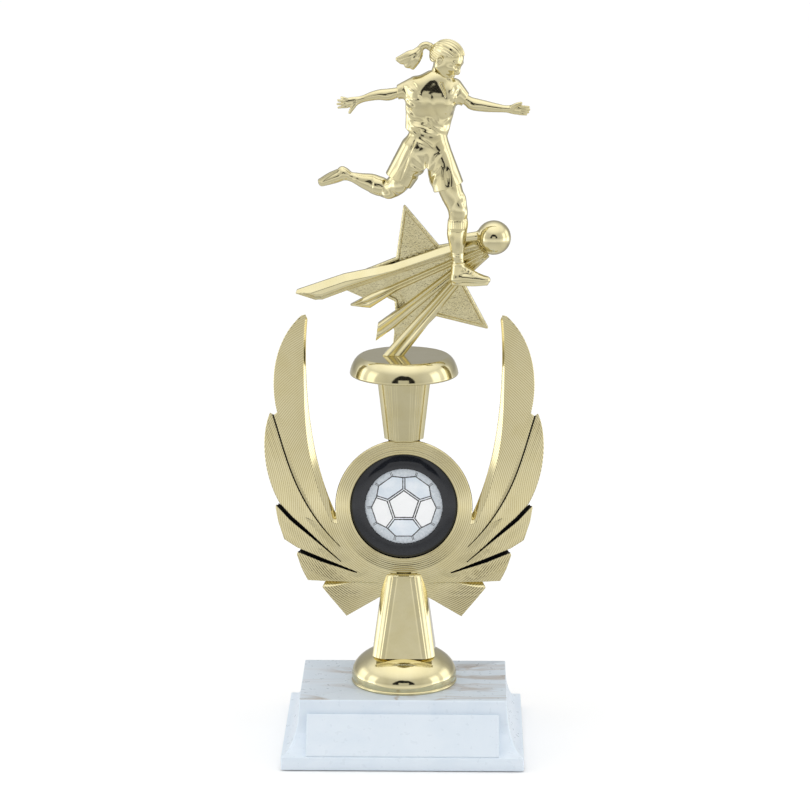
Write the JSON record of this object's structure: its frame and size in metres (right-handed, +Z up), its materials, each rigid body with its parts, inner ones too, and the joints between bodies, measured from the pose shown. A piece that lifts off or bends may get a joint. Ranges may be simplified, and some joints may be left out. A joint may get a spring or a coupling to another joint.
{
  "type": "figure trophy",
  "caption": "Award trophy: marble-look base, gold pillar with a winged ring round an insert, and a kicking football player over a star and comet rays.",
  "frame": {"origin": "centre of the underside, on the surface that the trophy stands on", "axes": "+Z up, the front with the insert and the panel faces -Y, +X to the right seen from the front"},
  "size_m": [0.1324, 0.0994, 0.3395],
  "materials": {
    "marble_plastic": "semi-gloss white marble look with faint brown veins",
    "gold_plastic": "vacuum-metallised pale gold, mirror bright",
    "ridged_gold": "metallised pale gold over fine concentric ridges",
    "frosted_gold": "metallised pale gold over a pebbled field",
    "black_gloss": "glossy black",
    "silver_print": "satin silver foil with black lines",
    "clear_cover": "clear gloss",
    "zinc_steel": "zinc plated",
    "cast_weight": "rough cast",
    "liner_board": "dark green board",
    "felt": "black felt",
    "foam_tape": "white foam tape"
  },
  "bodies": {
    "root": {"base_shell": "marble_plastic", "base_weight": "cast_weight", "base_liner": "liner_board", "felt_pads": "felt", "fender_washer": "zinc_steel", "lock_washer": "zinc_steel", "bottom_nut": "zinc_steel", "check_rod": "zinc_steel", "riser_foot": "gold_plastic", "lower_pillar": "gold_plastic", "front_wing_shell": "ridged_gold", "back_wing_shell": "ridged_gold", "insert_pad": "foam_tape", "insert_holder": "black_gloss", "insert_disc": "silver_print", "insert_lens": "clear_cover", "upper_pillar": "gold_plastic", "figure_base": "gold_plastic", "captive_nut": "zinc_steel", "star_plate": "frosted_gold", "comet_trail": "gold_plastic", "ball": "gold_plastic", "athlete": "gold_plastic"}
  },
  "joints": []
}
